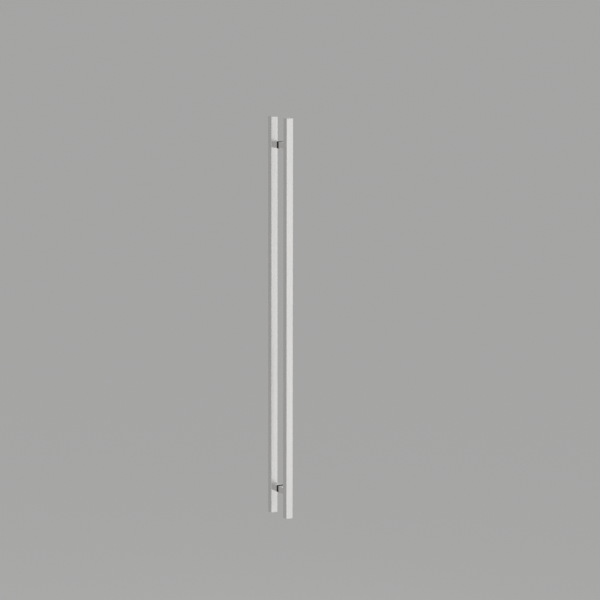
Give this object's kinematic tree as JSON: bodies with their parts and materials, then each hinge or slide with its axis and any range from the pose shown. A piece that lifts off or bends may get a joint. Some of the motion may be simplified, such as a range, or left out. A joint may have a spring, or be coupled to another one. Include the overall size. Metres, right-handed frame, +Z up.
{
  "type": "back-to-back door push and pull bar",
  "caption": "Back-to-back pair of long square satin steel push and pull bars for a glass door, on square posts with black gaskets, joined through the glass by hidden studs.",
  "frame": {"origin": "centre of the whole pair: in the middle of the glass, midway between the two studs", "axes": "+Z up along the bars, +Y through the door from the near bar to the far bar, +X across the face of the bars"},
  "size_m": [0.025, 0.138, 1.4],
  "materials": {
    "satin_steel": "satin, ground lengthwise",
    "black_rubber": "matt",
    "turned_steel": "turned",
    "zinc_steel": "bright zinc plate",
    "nylon": "moulded, natural white"
  },
  "bodies": {
    "root": {"near_bar": "satin_steel", "far_bar": "satin_steel", "near_top_plug": "satin_steel", "near_bottom_plug": "satin_steel", "far_top_plug": "satin_steel", "far_bottom_plug": "satin_steel", "near_upper_post": "satin_steel", "near_lower_post": "satin_steel", "far_upper_post": "satin_steel", "far_lower_post": "satin_steel", "near_upper_gasket": "black_rubber", "near_lower_gasket": "black_rubber", "far_upper_gasket": "black_rubber", "far_lower_gasket": "black_rubber", "near_upper_hub": "turned_steel", "near_lower_hub": "turned_steel", "far_upper_hub": "turned_steel", "far_lower_hub": "turned_steel", "upper_stud": "zinc_steel", "lower_stud": "zinc_steel", "upper_sleeve": "nylon", "lower_sleeve": "nylon", "post_screws": "zinc_steel", "spring_washers": "turned_steel", "rivet_nuts": "zinc_steel", "locating_pins": "turned_steel", "grub_screws": "turned_steel"}
  },
  "joints": []
}
